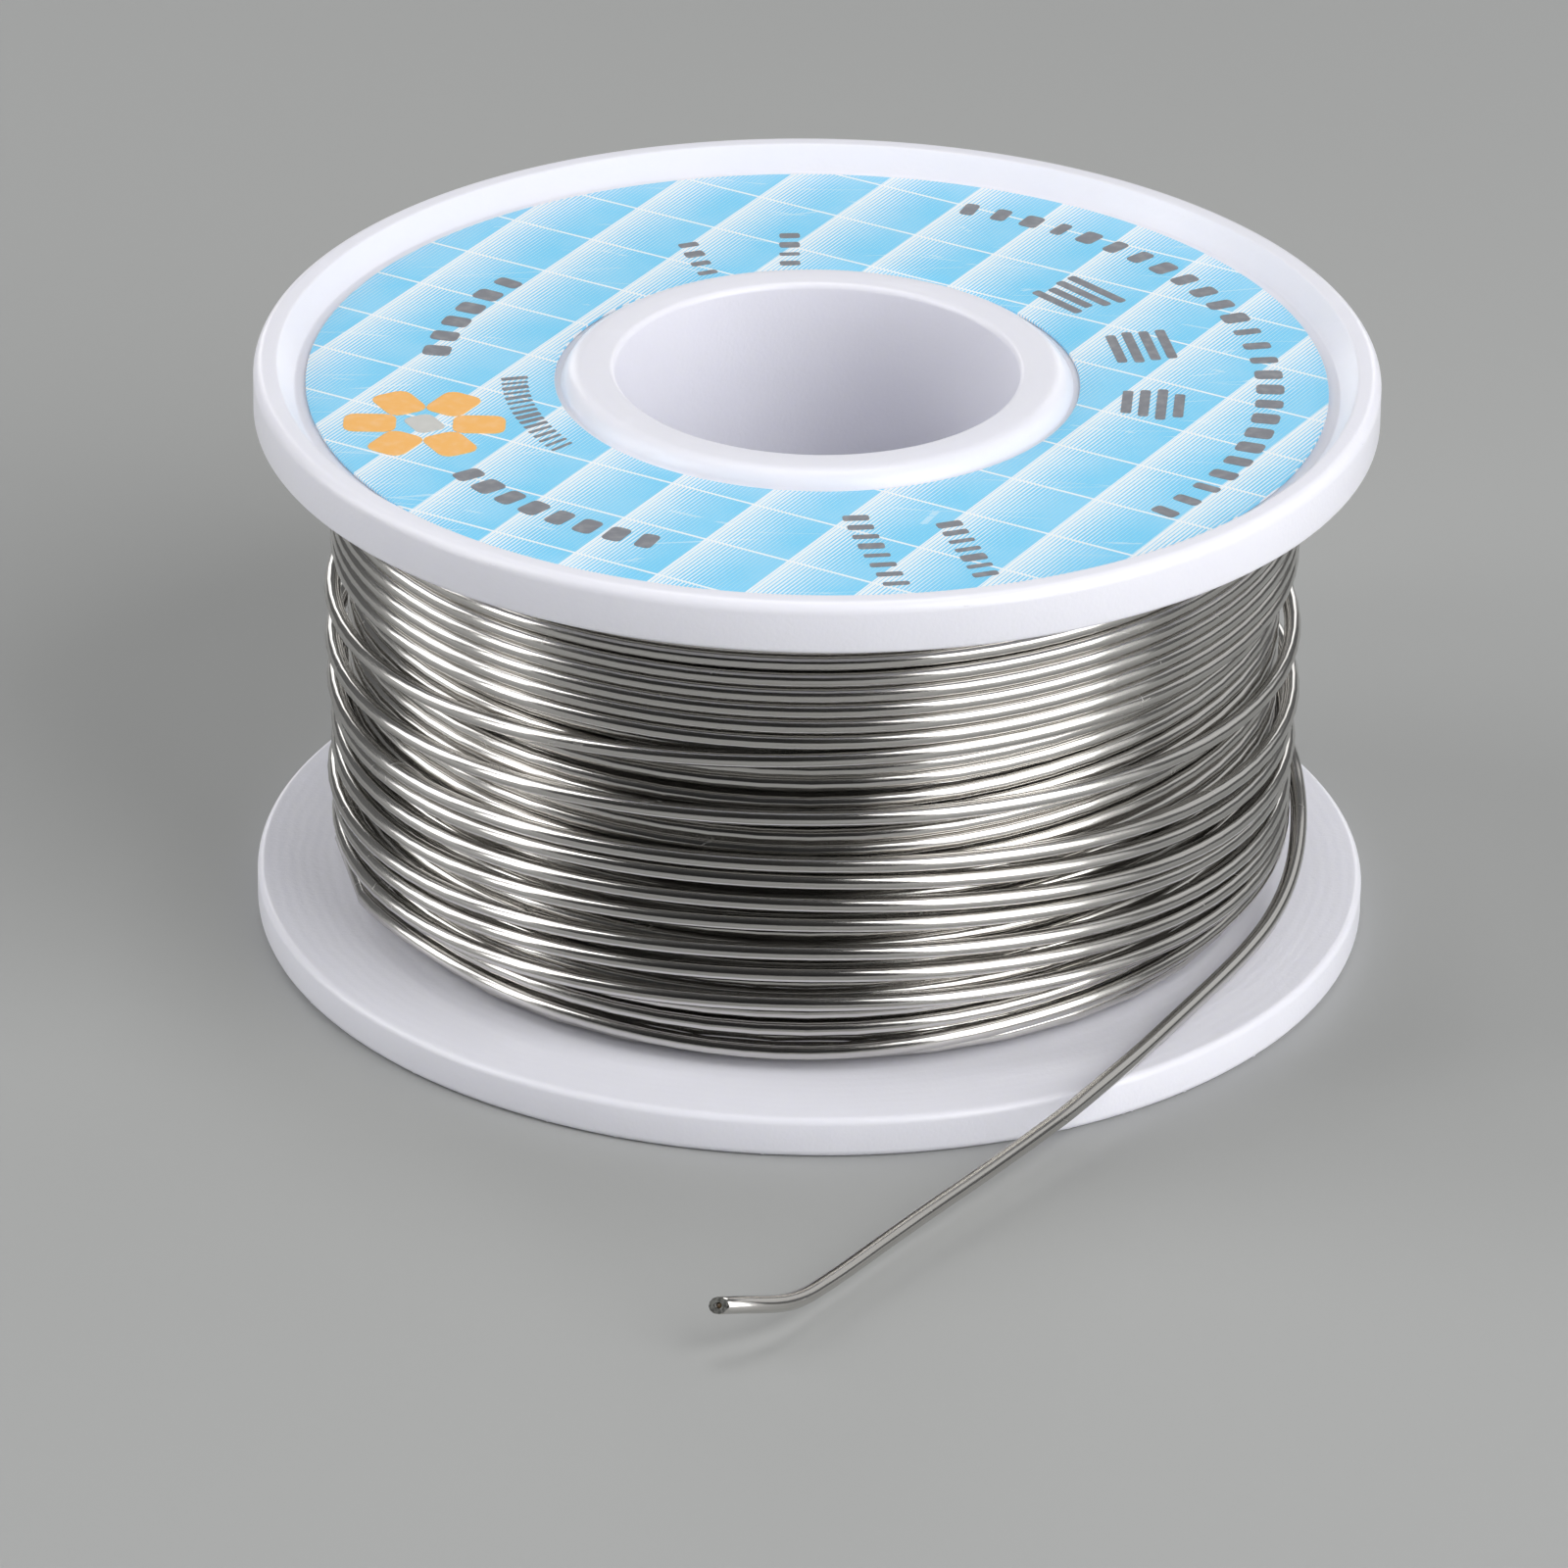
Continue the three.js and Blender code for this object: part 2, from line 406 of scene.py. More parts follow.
def drawn_solder():
    """Bright drawn solder: die lines and gloss streaks run along the wire, with dull smudges on top."""
    finish = Finish("drawn_solder")
    colour = settings("wire").colour
    warm_tint = (0.88, 0.87, 0.85)
    warm = (*(channel * tint for channel, tint in zip(colour[:3], warm_tint)), 1.0)
    along = finish.millimetres("UV")
    streaks = finish.noise(finish.stretched(along, (0.03, 0.035, 1.0)), 1.0, Detail=4.0, Roughness=0.6)
    die_lines = finish.noise(finish.stretched(along, (0.02, 0.004, 1.0)), 1.6, Detail=2.0)
    place = finish.millimetres()
    grain = finish.grain(place, patch_scale=0.35, grain_scale=9.0, roughness=0.15, spread=0.06)
    scratches = finish.scratches(place, scale=1.6, width=0.015, cover=0.7)
    finish.set(Base_Color=finish.mix(finish.ramp(streaks, 0.35, 0.7), tuple(colour), warm))
    gloss = finish.math("ADD", grain["Roughness"], finish.ramp(streaks, 0.4, 0.75, 0.0, 0.05))
    finish.set(Roughness=finish.add_share(gloss, scratches, 0.2), Metallic=1.0)
    finish.bump(finish.add_share(die_lines, streaks, 0.25), 0.10, 0.012 * MM)
    return finish.material


def nipped_solder():
    """The torn, duller metal of the cut face."""
    finish = Finish("nipped_solder")
    colour = settings("wire").cut_colour
    grain = finish.grain(finish.millimetres(), patch_scale=6.0, grain_scale=14.0, roughness=0.42, spread=0.2)
    patches = finish.ramp(grain["Patches"], 0.35, 0.65)
    finish.set(Base_Color=finish.mix(patches, tuple(colour), shade(colour, 0.45)))
    finish.set(Roughness=grain["Roughness"], Metallic=0.85)
    finish.bump(grain["Height"], 0.6, 0.05 * MM)
    return finish.material


def flux_resin():
    """Brittle amber resin with tiny voids."""
    finish = Finish("flux_resin")
    colour = settings("wire").flux_colour
    grain = finish.grain(finish.millimetres(), patch_scale=7.0, grain_scale=18.0, roughness=0.35, spread=0.2)
    finish.set(Base_Color=finish.mix(grain["Patches"], tuple(colour), shade(colour, 0.4)))
    finish.set(Roughness=grain["Roughness"])
    finish.bump(grain["Height"], 0.5, 0.03 * MM)
    return finish.material


# The label's printed bands run at this angle to the X axis, and its thin rules across them.
BAND_ANGLE = math.radians(60.5)
RULE_PHASE = 0.9


def label_coordinate(finish, parts, angle, spacing):
    """Distance across a family of parallel lines that run at the angle, counted in spacings."""
    across_x = finish.math("MULTIPLY", parts["X"], math.sin(angle) / spacing)
    across_y = finish.math("MULTIPLY", parts["Y"], -math.cos(angle) / spacing)
    return finish.math("ADD", across_x, across_y)


def from_middle(finish, coordinate):
    """Distance from the middle of a spacing, 0 to 0.5."""
    return finish.math("ABSOLUTE", finish.math("SUBTRACT", finish.math("FRACT", coordinate), 0.5))


def printed_hatching(finish, parts):
    """A mask of fine white lines, dense at one side of each band and fading out to the other."""
    label = settings("label")
    fade_power, densest, thinnest, softness = 2.3, 0.88, 0.03, 0.10
    band = finish.math("FRACT", label_coordinate(finish, parts, BAND_ANGLE, label.band_spacing / MM))
    fade = finish.math("POWER", finish.math("SUBTRACT", 1.0, band), fade_power)
    share = finish.math("ADD", finish.math("MULTIPLY", fade, densest), thinnest)
    line = from_middle(finish, label_coordinate(finish, parts, BAND_ANGLE, label.hatch_spacing / MM))
    distance = finish.math("MULTIPLY", line, 2.0)
    return finish.ramp(finish.math("SUBTRACT", share, distance), -softness, softness)


def printed_rules(finish, parts):
    """A mask of the thin white rules across the bands."""
    label = settings("label")
    across = label_coordinate(finish, parts, BAND_ANGLE + math.pi / 2, label.band_spacing / MM)
    distance = from_middle(finish, finish.math("ADD", across, 1.5 - RULE_PHASE))
    half_width = label.rule_width / label.band_spacing / 2
    full_ink, no_ink = 0.7, 1.5
    return finish.ramp(distance, half_width * full_ink, half_width * no_ink, 1.0, 0.0)


def printed_paper():
    """Coated label paper: blue bands that fade into white hatching, crossed by thin white rules."""
    label = settings("label")
    finish = Finish("printed_paper")
    place = finish.millimetres()
    parts = finish.add("ShaderNodeSeparateXYZ", {"Vector": place}).outputs
    printed = finish.math("MAXIMUM", printed_hatching(finish, parts), printed_rules(finish, parts))
    grain = finish.grain(place, patch_scale=0.25, grain_scale=7.0, roughness=0.42, spread=0.08)
    scratches = finish.scratches(place, scale=0.4, width=0.008, cover=0.6)
    whiteness = finish.math("MAXIMUM", printed, finish.math("MULTIPLY", scratches, 0.35))
    pale = tuple(0.9 * blue + 0.1 * white for blue, white in zip(label.blue, label.white))
    ground = finish.mix(finish.ramp(grain["Patches"], 0.35, 0.65), tuple(label.blue), pale)
    finish.set(Base_Color=finish.mix(whiteness, ground, tuple(label.white)))
    finish.set(Roughness=finish.add_share(grain["Roughness"], scratches, 0.15))
    finish.bump(grain["Height"], 0.1, 0.03 * MM)
    return finish.material


def printed_ink(name, colour):
    """A thin layer of ink whose edges and solids are a little uneven."""
    finish = Finish(name)
    grain = finish.grain(finish.millimetres(), patch_scale=1.8, grain_scale=12.0, roughness=0.45, spread=0.12)
    thin = (*(0.8 * channel + 0.2 for channel in colour[:3]), 1.0)
    patches = finish.ramp(grain["Patches"], 0.4, 0.75, 0.0, 0.5)
    finish.set(Base_Color=finish.mix(patches, tuple(colour), thin))
    finish.set(Roughness=grain["Roughness"])
    finish.bump(grain["Height"], 0.15, 0.02 * MM)
    return finish.material


def floor_paint():
    """A plain matt floor."""
    finish = Finish("floor_paint")
    colour = settings("stage").floor_colour
    grain = finish.grain(finish.millimetres(), patch_scale=0.01, grain_scale=1.5, roughness=0.55, spread=0.05)
    finish.set(Base_Color=finish.mix(grain["Patches"], tuple(colour), shade(colour, 0.97)))
    finish.set(Roughness=grain["Roughness"])
    return finish.material


# --- The wire's path ------------------------------------------------------------------------------
# One turn is a turn clockwise from above. A turn number n stands at azimuth -360 n degrees, and the
# heights and radii of the wire's centre are in millimetres.

INNER_LAYERS = 12
TURNS_PER_LAYER = 27.75
FIRST_LAYER_R = 12.8
LAST_INNER_R = 21.35
COVERED_LAYER_R = 22.15
OUTER_LAYER_R = 22.97
LOWEST_Z = 2.57
HIGHEST_Z = 25.85
LAYER_STEP_TURNS = 0.2

COVERED_TURNS = 25
COVERED_START_Z = 4.3
COVERED_ENTRY_Z = 3.2
COVERED_ENTRY_TURNS = (0.6, 0.3)  # how long before its first turn the wire starts to rise, and has risen
COVERED_PITCH = 0.86

# Where a turn's height is given: right, front, left and back of the winding, as shares of a turn.
# The covered turns stand higher at some of them.
COVERED_TILT = (0.8, 0.0, 0.1, 0.45)
STATIONS = (25 / 360, 90 / 360, 150 / 360, 270 / 360)

# Heights of the outer layer's turns at the right, the front and the left. The first eight are tight
# under the upper flange, and the others lie looser and leave gaps.
OUTER_TURNS = (
    (25.85, 25.55, 25.25),
    (25.05, 24.72, 24.45),
    (24.25, 23.92, 23.65),
    (23.45, 23.05, 22.85),
    (22.65, 22.24, 22.05),
    (21.85, 21.44, 21.25),
    (21.05, 20.64, 20.45),
    (20.25, 19.82, 19.62),
    (19.40, 18.90, 17.35),
    (15.50, 15.85, 14.80),
    (12.30, 13.40, 12.55),
    (10.95, 12.55, 11.65),
    (9.65, 11.35, 10.40),
    (8.80, 10.30, 9.05),
    (7.45, 8.75, 7.50),
    (6.50, 7.60, 6.45),
    (5.50, 6.10, 5.10),
)
# The last turn sinks beside the lower flange: turn share, radius, height.
LAST_TURN = (
    (0.00, 22.95, 4.45),
    (0.07, 22.45, 4.25),
    (0.17, 22.25, 3.75),
    (0.25, 22.20, 3.12),
    (0.34, 22.25, 3.35),
    (0.41, 22.35, 3.45),
    (0.46, 22.65, 2.98),
)
# Turns of the outer layer that bulge out: turn, turn share at the middle, how far.
BULGES = (
    (8, 0.48, 0.30),
    (9, 0.04, 0.24),
    (9, 0.47, 0.28),
    (10, 0.04, 0.28),
    (10, 0.47, 0.20),
    (12, 0.03, 0.15),
    (14, 0.48, 0.18),
)
BULGE_HALF_WIDTH = 0.17

# The wire then climbs over the last turns behind the spool: azimuth in degrees, radius, height.
CLIMB = (
    (180, 22.85, 2.70),
    (165, 22.92, 2.58),
    (150, 22.97, 2.60),
    (130, 23.05, 2.78),
    (110, 23.25, 3.10),
    (90, 23.50, 3.70),
    (70, 23.72, 4.38),
    (50, 23.84, 5.05),
    (30, 23.88, 5.70),
    (18, 23.87, 6.03),
)

# The free end, from the winding over the lower rim to the nipped tip.
FREE_END_ROUTE = (
    (23.50, 4.10, 6.10),
    (23.80, 1.50, 5.45),
    (23.80, -1.40, 4.85),
    (23.55, -3.75, 4.25),
    (22.99, -6.35, 3.75),
    (22.15, -8.85, 3.40),
    (21.05, -11.25, 3.15),
    (19.95, -13.35, 3.00),
    (18.85, -15.35, 2.90),
    (17.80, -17.25, 2.82),
    (15.55, -21.25, 2.66),
    (14.45, -23.05, 2.58),
    (13.35, -24.75, 2.47),
    (12.00, -26.70, 2.27),
    (10.90, -28.10, 2.10),
    (8.15, -31.60, 1.76),
    (5.40, -35.15, 1.53),
    (3.60, -37.65, 1.44),
    (1.80, -40.25, 1.38),
    (0.90, -41.55, 1.40),
    (0.05, -42.80, 1.50),
    (-0.85, -43.90, 1.78),
    (-1.72, -44.70, 2.14),
    (-2.60, -45.35, 2.48),
    (-3.80, -45.95, 2.75),
)
FREE_END_STEP = 0.45

WINDING_SEED = 21
COVERED_JITTER = 0.10
OUTER_JITTER = 0.03
TIGHT_TURNS = 8

# Rings per turn and sides of the wire's tube, coarser where other turns hide it.
HIDDEN_RINGS = 24
HIDDEN_SIDES = 6
SEEN_SIDES = 12
LAST_INNER_RINGS = 36
COVERED_RINGS = 60
OUTER_RINGS = 90


def smooth_curve(at, knots, values):
    """A cubic curve through the values at the knots, read at the given places."""
    knots, values = np.asarray(knots, float), np.asarray(values, float)
    slopes = np.gradient(values, knots, axis=0)
    index = np.clip(np.searchsorted(knots, at, side="right") - 1, 0, len(knots) - 2)
    span = knots[index + 1] - knots[index]
    s = (at - knots[index]) / span
    if values.ndim == 2:
        s, span = s[:, None], span[:, None]
    rise = (1 + 2 * s) * (1 - s) ** 2 * values[index] + s * s * (3 - 2 * s) * values[index + 1]
    lean = s * (1 - s) ** 2 * slopes[index] + s * s * (s - 1) * slopes[index + 1]
    return rise + span * lean


def inner_stations():
    """Turn number, radius and height at both ends of each hidden layer."""
    stations = []
    for layer in range(INNER_LAYERS):
        radius = FIRST_LAYER_R + (LAST_INNER_R - FIRST_LAYER_R) * layer / (INNER_LAYERS - 1)
        start, end = (LOWEST_Z, HIGHEST_Z) if layer % 2 == 0 else (HIGHEST_Z, LOWEST_Z)
        first = layer * TURNS_PER_LAYER
        stations.append((first + LAYER_STEP_TURNS, radius, start))
        stations.append((first + TURNS_PER_LAYER - LAYER_STEP_TURNS, radius, end))
    last_turn = INNER_LAYERS * TURNS_PER_LAYER
    stations[0] = (0.0, FIRST_LAYER_R, LOWEST_Z)
    stations[-1] = (last_turn - COVERED_ENTRY_TURNS[0], LAST_INNER_R, LOWEST_Z)
    return stations


def covered_stations(first, dice):
    """The layer under the outermost one. It climbs, and its turns show through the gaps."""
    stations = [
        (first - COVERED_ENTRY_TURNS[0], LAST_INNER_R, LOWEST_Z),
        (first - COVERED_ENTRY_TURNS[1], COVERED_LAYER_R, COVERED_ENTRY_Z),
    ]
    for turn in range(COVERED_TURNS):
        for share, tilt in zip(STATIONS, COVERED_TILT):
            height = COVERED_START_Z + COVERED_PITCH * turn + tilt
            jitter = dice.uniform(-COVERED_JITTER, COVERED_JITTER)
            stations.append((first + turn + share, COVERED_LAYER_R, min(height + jitter, HIGHEST_Z)))
    return stations


def outer_stations(first, dice):
    """The outermost layer, from the upper flange down to the lower one."""
    stations = []
    for turn, (right, front, left) in enumerate(OUTER_TURNS):
        next_right = OUTER_TURNS[turn + 1][0] if turn + 1 < len(OUTER_TURNS) else LAST_TURN[1][2]
        back = (left + next_right) / 2
        jitter = OUTER_JITTER if turn > TIGHT_TURNS else 0.0
        for share, height in zip(STATIONS, (right, front, left, back)):
            stations.append((first + turn + share, OUTER_LAYER_R, height + dice.uniform(-jitter, jitter)))
    last = first + len(OUTER_TURNS)
    stations.extend((last + share, radius, height) for share, radius, height in LAST_TURN)
    return stations


def bulge(turns, first):
    """How far the loose turns stand out of the layer."""
    out = np.zeros_like(turns)
    for turn, share, amount in BULGES:
        s = np.clip(np.abs(turns - (first + turn + share)) / BULGE_HALF_WIDTH, 0, 1)
        out += amount * np.cos(s * math.pi / 2) ** 2
    return out


def on_cylinder(turns, radius, height):
    """Points at the turn numbers' azimuths."""
    azimuth = -2 * math.pi * turns
    return np.column_stack((radius * np.cos(azimuth), radius * np.sin(azimuth), height))


def mean_circle(radius, corners):
    """The radius of a polygon's corners whose sides keep the circle's mean radius."""
    return radius * 2 / (1 + math.cos(math.pi / corners))


def turn_numbers(start, end, rings):
    """Turn numbers a ring apart, from the start up to just before the end."""
    return np.linspace(start, end, int(round((end - start) * rings)), endpoint=False)


def wire_path():
    """The wire's centreline from its inner end, in millimetres, and how many of its points are hidden."""
    dice = np.random.default_rng(WINDING_SEED)
    covered_first = INNER_LAYERS * TURNS_PER_LAYER
    outer_first = covered_first + COVERED_TURNS
    inner = np.array(inner_stations())
    shown = np.array(covered_stations(covered_first, dice) + outer_stations(outer_first, dice))
    last_inner = covered_first - TURNS_PER_LAYER
    join = shown[0, 0]
    end = shown[-1, 0]
    stretches = []
    for turns, rings in ((turn_numbers(0.0, last_inner, HIDDEN_RINGS), HIDDEN_RINGS),
                         (turn_numbers(last_inner, join, LAST_INNER_RINGS), LAST_INNER_RINGS)):
        radius = np.interp(turns, inner[:, 0], inner[:, 1])
        height = np.interp(turns, inner[:, 0], inner[:, 2])
        stretches.append(on_cylinder(turns, mean_circle(radius, rings), height))
    for turns in (turn_numbers(join, outer_first, COVERED_RINGS),
                  turn_numbers(outer_first, end, OUTER_RINGS)):
        radius = smooth_curve(turns, shown[:, 0], shown[:, 1]) + bulge(turns, outer_first)
        height = np.clip(smooth_curve(turns, shown[:, 0], shown[:, 2]), LOWEST_Z, HIGHEST_Z)
        stretches.append(on_cylinder(turns, radius, height))
    azimuths, radii, heights = np.array(CLIMB, float).T
    climb = on_cylinder(-azimuths / 360, radii, heights)
    stretches.append(even_steps(np.vstack((climb, FREE_END_ROUTE)), FREE_END_STEP))
    return np.vstack(stretches), len(stretches[0])


def even_steps(points, step):
    """Points a step apart on a smooth curve through the given ones."""
    lengths = np.concatenate(([0.0], np.cumsum(np.linalg.norm(np.diff(points, axis=0), axis=1))))
    count = int(round(lengths[-1] / step))
    return smooth_curve(np.linspace(0, lengths[-1], count + 1), lengths, points)


# --- The wire's mesh ------------------------------------------------------------------------------

# The nipped tip, in millimetres: how the cut leans, the hollow behind it and the flux inside.
CUT_SLANT = 0.9
CUT_FACING = Vector((-0.15, -0.85, 0.5)).normalized()
CORE_DEPTH = 0.3
CORE_SINK = 0.06
CORE_BRIM_SINK = 0.096
CORE_CROWN_SHARE = 0.55
CORE_CLEARANCE = 0.01
CUT_MATERIAL = 1


def path_frames(centres):
    """Tangent, upward and sideways unit vectors at each point of the path."""
    tangents = np.gradient(centres, axis=0)
    tangents /= np.linalg.norm(tangents, axis=1)[:, None]
    up = np.array((0.0, 0.0, 1.0)) - tangents * tangents[:, 2:3]
    up /= np.linalg.norm(up, axis=1)[:, None]
    return tangents, up, np.cross(tangents, up)


def ring(centre, up, side, radius, sides):
    """Points round a centre, the first one upward."""
    angles = 2 * np.pi * np.arange(sides) / sides
    return centre + radius * (np.cos(angles)[:, None] * up + np.sin(angles)[:, None] * side)


def slanted_ring(centre, tangent, up, side, radius):
    """A ring on the cut's slanted plane."""
    corners = ring(centre, up, side, radius, SEEN_SIDES)
    towards = (corners - centre) @ np.array(CUT_FACING)
    return corners - np.outer(towards * CUT_SLANT, tangent)


class TubeMesh:
    """Collects a tube's vertices, faces, texture coordinates and material numbers."""

    def __init__(self):
        self.vertices = []
        self.faces = []
        self.uvs = []
        self.materials = []
        self.previous = None

    def face(self, corners, uvs, material=0):
        self.faces.append(corners)
        self.uvs.extend(uvs)
        self.materials.append(material)

    def add_ring(self, points, distance, material=0):
        """Adds a ring and joins it to the one before."""
        start, count = len(self.vertices), len(points)
        self.vertices.extend(map(tuple, points))
        if self.previous is not None:
            first, before, behind = self.previous
            if before == count:
                self.join_equal(first, start, count, behind, distance, material)
            else:
                self.join_double(first, start, before, behind, distance, material)
        self.previous = (start, count, distance)

    def join_equal(self, first, second, count, behind, ahead, material):
        """From a ring to one with as many sides."""
        for i in range(count):
            j = (i + 1) % count
            u, v = i / count, (i + 1) / count
            self.face((first + i, first + j, second + j, second + i),
                      ((u, behind), (v, behind), (v, ahead), (u, ahead)), material)

    def join_double(self, first, second, count, behind, ahead, material):
        """From a ring to one with twice the sides."""
        for i in range(count):
            j = (i + 1) % count
            low, middle, high = second + 2 * i, second + 2 * i + 1, second + 2 * j
            u, half, v = i / count, (i + 0.5) / count, (i + 1) / count
            self.face((first + i, middle, low), ((u, behind), (half, ahead), (u, ahead)), material)
            self.face((first + i, first + j, middle), ((u, behind), (v, behind), (half, ahead)), material)
            self.face((first + j, high, middle), ((v, behind), (v, ahead), (half, ahead)), material)

    def cap(self, at_start, material=0):
        """Closes the tube with one face over its first or last ring."""
        start, count, distance = self.previous
        corners = list(range(start, start + count))
        if at_start:
            corners = corners[::-1]
        self.face(tuple(corners), [(0.5, distance)] * count, material)

    def build(self, name, flat_materials=()):
        mesh = bpy.data.meshes.new(name)
        mesh.from_pydata(self.vertices, [], self.faces)
        layer = mesh.uv_layers.new(name="UVMap")
        layer.data.foreach_set("uv", np.array(self.uvs, np.float32).ravel())
        mesh.polygons.foreach_set("material_index", self.materials)
        smooth = [material not in flat_materials for material in self.materials]
        mesh.polygons.foreach_set("use_smooth", smooth)
        mesh.update()
        return mesh


def wire_mesh(centres, hidden, radius, core_radius):
    """The tube of the whole wire, in metres, with a hollow for the flux in its nipped end."""
    tangents, up, side = path_frames(centres)
    steps = np.linalg.norm(np.diff(centres, axis=0), axis=1)
    distance = np.concatenate(([0.0], np.cumsum(steps)))
    tube = TubeMesh()
    for i in range(len(centres) - 1):
        sides = HIDDEN_SIDES if i < hidden else SEEN_SIDES
        points = ring(centres[i], up[i], side[i], mean_circle(radius, sides), sides)
        tube.add_ring(points * MM, distance[i] * MM)
        if i == 0:
            tube.cap(at_start=True)
    tip = (centres[-1], tangents[-1], up[-1], side[-1])
    tube.add_ring(slanted_ring(*tip, radius) * MM, distance[-1] * MM)
    tube.add_ring(slanted_ring(*tip, core_radius) * MM, distance[-1] * MM, CUT_MATERIAL)
    floor_centre = centres[-1] - tangents[-1] * CORE_DEPTH
    floor_ring = ring(floor_centre, up[-1], side[-1], core_radius, SEEN_SIDES)
    tube.add_ring(floor_ring * MM, distance[-1] * MM, CUT_MATERIAL)
    tube.cap(at_start=False, material=CUT_MATERIAL)
    return tube.build("solder_wire", flat_materials=(CUT_MATERIAL,))


def core_mesh(centres, radius):
    """The flux that shows in the wire's end."""
    tangents, up, side = path_frames(centres)
    tip, tangent = centres[-1], tangents[-1]
    tube = TubeMesh()
    base = tip - tangent * (CORE_DEPTH - CORE_CLEARANCE)
    tube.add_ring(ring(base, up[-1], side[-1], radius, SEEN_SIDES) * MM, 0.0)
    tube.cap(at_start=True)
    brim = slanted_ring(tip - tangent * CORE_BRIM_SINK, tangent, up[-1], side[-1], radius)
    tube.add_ring(brim * MM, CORE_DEPTH * MM)
    crown = slanted_ring(tip - tangent * CORE_SINK, tangent, up[-1], side[-1], radius * CORE_CROWN_SHARE)
    tube.add_ring(crown * MM, CORE_DEPTH * MM)
    tube.cap(at_start=False)
    return tube.build("flux_core")


# --- Reel outline ---------------------------------------------------------------------------------
# Edge roundings and fillets in millimetres, and angles in degrees.

UPPER_UNDER_EDGE = 0.2
LIP_INNER_EDGE = 0.3
LIP_LEAN = 32
LIP_FOOT = 0.34
LIP_FOOT_SHIFT = 0.2
LOWER_RIM_EDGE = 0.4
LOWER_CREST_CHAMFER = (0.15, 0.1)
LOWER_FLANGE_EDGE = 0.35
UPPER_COLLAR_EDGE = 1.1
UPPER_COLLAR_START = 18
LOWER_COLLAR_EDGE = 0.5
BORE_EDGE = 0.3
DRUM_FILLET = 0.3


def upper_flange_outline(reel):
    """From the winding space round the flange's edge, over the lip and down to the label's seat."""
    edge = reel["flange_radius"] - reel["crest_outer_radius"]
    under, seat, rim = reel["upper_flange_under"], reel["upper_seat"], reel["height"]
    corner, crest, foot = UPPER_UNDER_EDGE, LIP_INNER_EDGE, LIP_FOOT
    return [
        *arc(reel["flange_radius"] - corner, under + corner, corner, -90, 0, 4),
        *arc(reel["crest_outer_radius"], rim - edge, edge, 0, 90, 12),
        *arc(reel["crest_inner_radius"], rim - crest, crest, 90, 90 + LIP_LEAN, 5),
        *arc(reel["seat_radius"] + LIP_FOOT_SHIFT, seat + foot, foot, 270 + LIP_LEAN, 270, 5),
    ]


def upper_collar_outline(reel):
    """From the label's seat up the collar's outside, over its end and into the bore."""
    end, corner, mouth = reel["upper_collar"], UPPER_COLLAR_EDGE, BORE_EDGE
    return [
        (reel["drum_radius"], reel["upper_seat"]),
        *arc(reel["drum_radius"] - corner, end - corner, corner, UPPER_COLLAR_START, 90, 12),
        *arc(reel["bore_radius"] + mouth, end - mouth, mouth, 90, 180, 6),
    ]


def lower_collar_outline(reel):
    """Out of the bore, over the collar's end and up to the face of the recess."""
    end, corner, mouth = reel["lower_collar"], LOWER_COLLAR_EDGE, BORE_EDGE
    return [
        *arc(reel["bore_radius"] + mouth, end + mouth, mouth, 180, 270, 6),
        *arc(reel["drum_radius"] - corner, end + corner, corner, -90, 0, 6),
        (reel["drum_radius"], reel["lower_seat"]),
    ]


def lower_flange_outline(reel):
    """From the recess over the resting rim and round the flange's edge to the winding space."""
    corner, edge = LOWER_RIM_EDGE, LOWER_FLANGE_EDGE
    across, up = LOWER_CREST_CHAMFER
    return [
        (reel["seat_radius"], reel["lower_seat"]),
        (reel["crest_inner_radius"] - across, up),
        (reel["crest_inner_radius"], 0.0),
        *arc(reel["flange_radius"] - corner, corner, corner, -90, 0, 6),
        *arc(reel["flange_radius"] - edge, reel["lower_flange_top"] - edge, edge, 0, 90, 6),
    ]


def drum_outline(reel):
    """The drum between the flanges, with a fillet at both ends."""
    centre = reel["drum_radius"] + DRUM_FILLET
    return [
        *arc(centre, reel["lower_flange_top"] + DRUM_FILLET, DRUM_FILLET, 270, 180, 4),
        *arc(centre, reel["upper_flange_under"] - DRUM_FILLET, DRUM_FILLET, 180, 90, 4),
    ]


def reel_outline():
    """The reel's whole outline in millimetres."""
    group = settings("reel")
    reel = {key: getattr(group, key) / MM for key in ReelSettings.__annotations__ if key != "colour"}
    return [
        *lower_flange_outline(reel),
        *drum_outline(reel),
        *upper_flange_outline(reel),
        *upper_collar_outline(reel),
        *lower_collar_outline(reel),
    ]


# --- Geometry Nodes -------------------------------------------------------------------------------

CORNER_STEPS = 3
WELD_DISTANCE = 0.001 * MM
CRUMB_SIZES = ((0.35, 0.5, 0.35), (1.0, 2.6, 1.0))  # the least and the most, outward, along and up
CRUMB_SIZE_SEED_STEP = 17.0


def end_tree(nodes, instances, material, result):
    """Ends a tree: makes its instances real and gives them their material."""
    real = nodes.add("GeometryNodeRealizeInstances", {"Geometry": instances})
    painted = nodes.add("GeometryNodeSetMaterial", {"Geometry": real.outputs[0], "Material": material})
    nodes.feed(result["Geometry"], painted.outputs[0])


